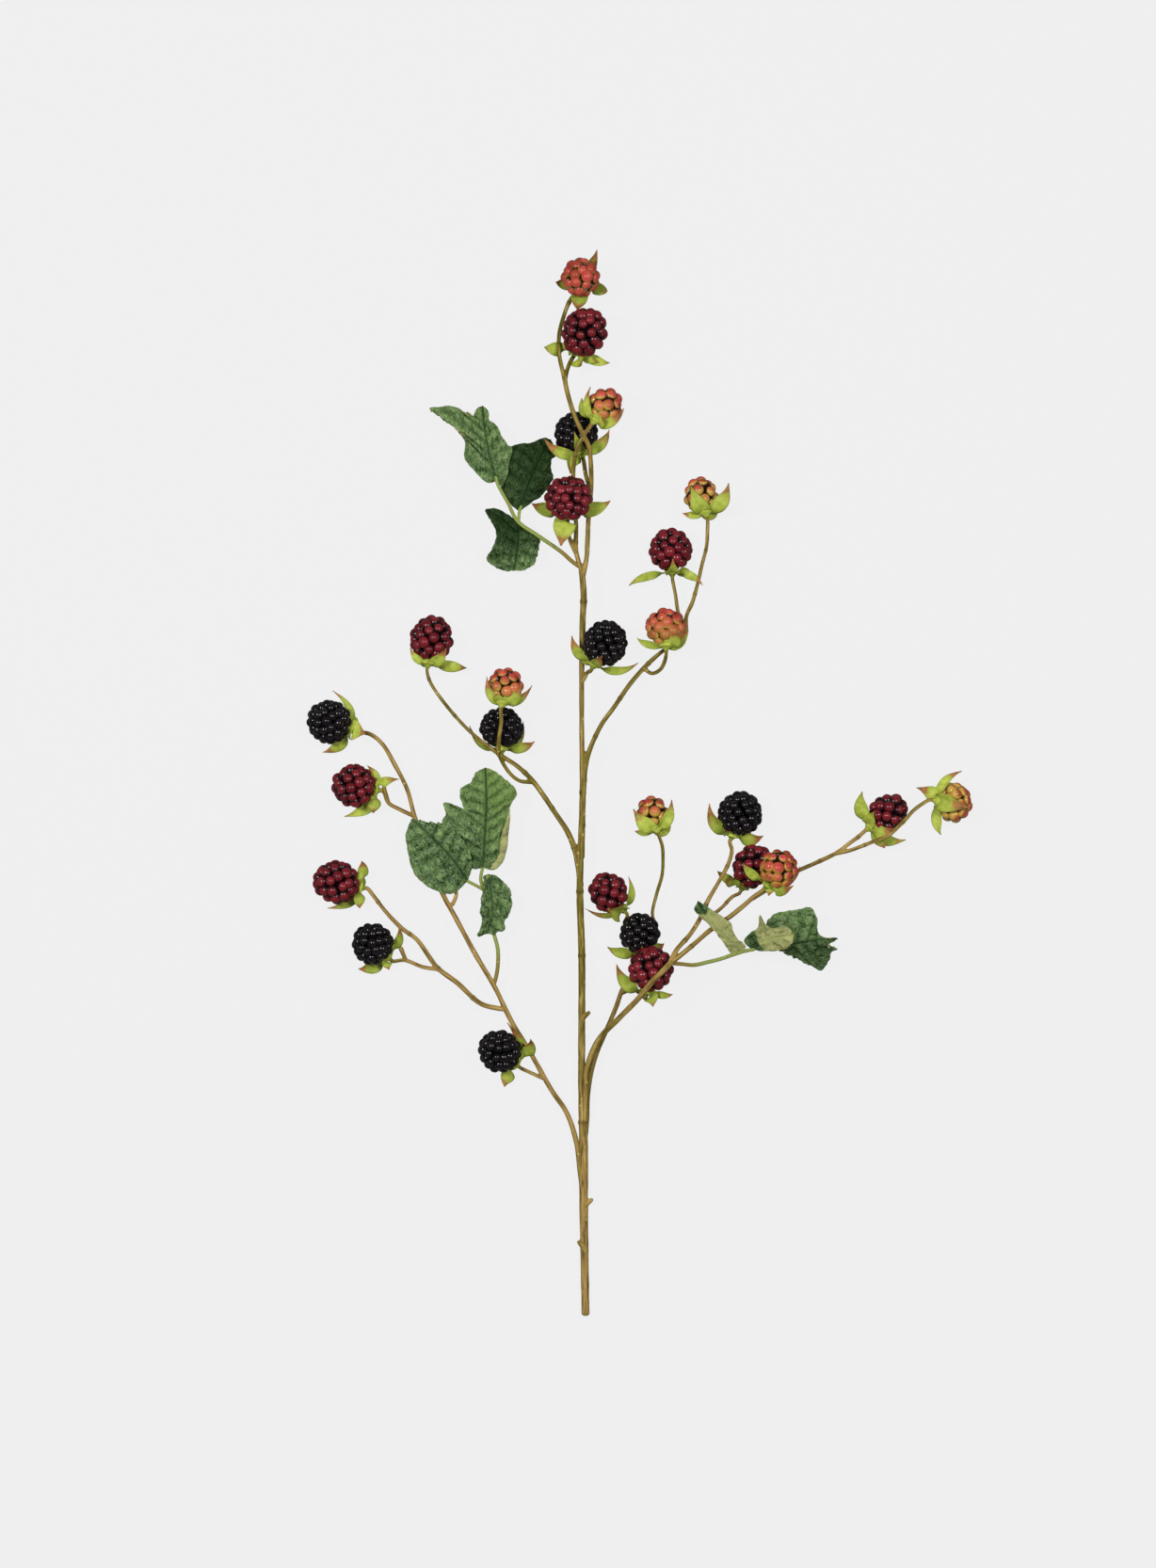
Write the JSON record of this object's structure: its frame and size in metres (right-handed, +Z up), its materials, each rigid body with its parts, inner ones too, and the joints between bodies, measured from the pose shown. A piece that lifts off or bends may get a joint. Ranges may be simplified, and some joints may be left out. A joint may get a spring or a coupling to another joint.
{
  "type": "bramble sprig",
  "caption": "Cut bramble sprig lying flat: a slender cane with side shoots, clusters of black, burgundy and unripe orange berries in green calyces, and compound leaves.",
  "frame": {"origin": "middle of the underside of the sprig's box, on the surface it lies on", "axes": "+Y along the cane from its cut end to its tip, +Z up from the surface, +X to the right seen from above"},
  "size_m": [0.3522, 0.5636, 0.0412],
  "materials": {
    "bark": "matt olive-khaki bark with pale flecks and ring scars",
    "leaf": "matt crinkled leaf, green above and pale below",
    "sepal": "matt yellow-green with brown tips",
    "drupelets_black": "glossy near-black skin",
    "drupelets_burgundy": "glossy wine-red skin",
    "drupelets_red": "satin red skin, yellow towards its base",
    "drupelets_orange": "satin orange skin, yellow-green towards its base"
  },
  "bodies": {
    "root": {"main_cane": "bark", "top_shoot": "bark", "left_low_shoot": "bark", "right_front_shoot": "bark", "right_back_shoot": "bark", "leaf_upper_left": "leaf", "leaf_left": "leaf", "leaf_right": "leaf", "berry_top_1": "drupelets_red", "calyx_top_1": "sepal", "berry_top_2": "drupelets_burgundy", "calyx_top_2": "sepal", "berry_top_3": "drupelets_orange", "calyx_top_3": "sepal", "berry_top_4": "drupelets_black", "calyx_top_4": "sepal", "berry_top_5": "drupelets_burgundy", "calyx_top_5": "sepal", "berry_right_mid_1": "drupelets_orange", "calyx_right_mid_1": "sepal", "berry_right_mid_2": "drupelets_burgundy", "calyx_right_mid_2": "sepal", "berry_right_mid_3": "drupelets_orange", "calyx_right_mid_3": "sepal", "berry_main_1": "drupelets_black", "calyx_main_1": "sepal", "berry_left_mid_1": "drupelets_burgundy", "calyx_left_mid_1": "sepal", "berry_left_mid_2": "drupelets_orange", "calyx_left_mid_2": "sepal", "berry_left_mid_3": "drupelets_black", "calyx_left_mid_3": "sepal", "berry_left_low_1": "drupelets_black", "calyx_left_low_1": "sepal", "berry_left_low_2": "drupelets_burgundy", "calyx_left_low_2": "sepal", "berry_left_low_3": "drupelets_burgundy", "calyx_left_low_3": "sepal", "berry_left_low_4": "drupelets_black", "calyx_left_low_4": "sepal", "berry_left_low_5": "drupelets_black", "calyx_left_low_5": "sepal", "berry_right_back_1": "drupelets_orange", "calyx_right_back_1": "sepal", "berry_right_back_2": "drupelets_burgundy", "calyx_right_back_2": "sepal", "berry_right_back_3": "drupelets_black", "calyx_right_back_3": "sepal", "berry_right_back_4": "drupelets_burgundy", "calyx_right_back_4": "sepal", "berry_right_front_1": "drupelets_black", "calyx_right_front_1": "sepal", "berry_right_front_2": "drupelets_burgundy", "calyx_right_front_2": "sepal", "berry_right_front_3": "drupelets_red", "calyx_right_front_3": "sepal", "berry_right_front_4": "drupelets_burgundy", "calyx_right_front_4": "sepal", "berry_right_front_5": "drupelets_orange", "calyx_right_front_5": "sepal"}
  },
  "joints": []
}
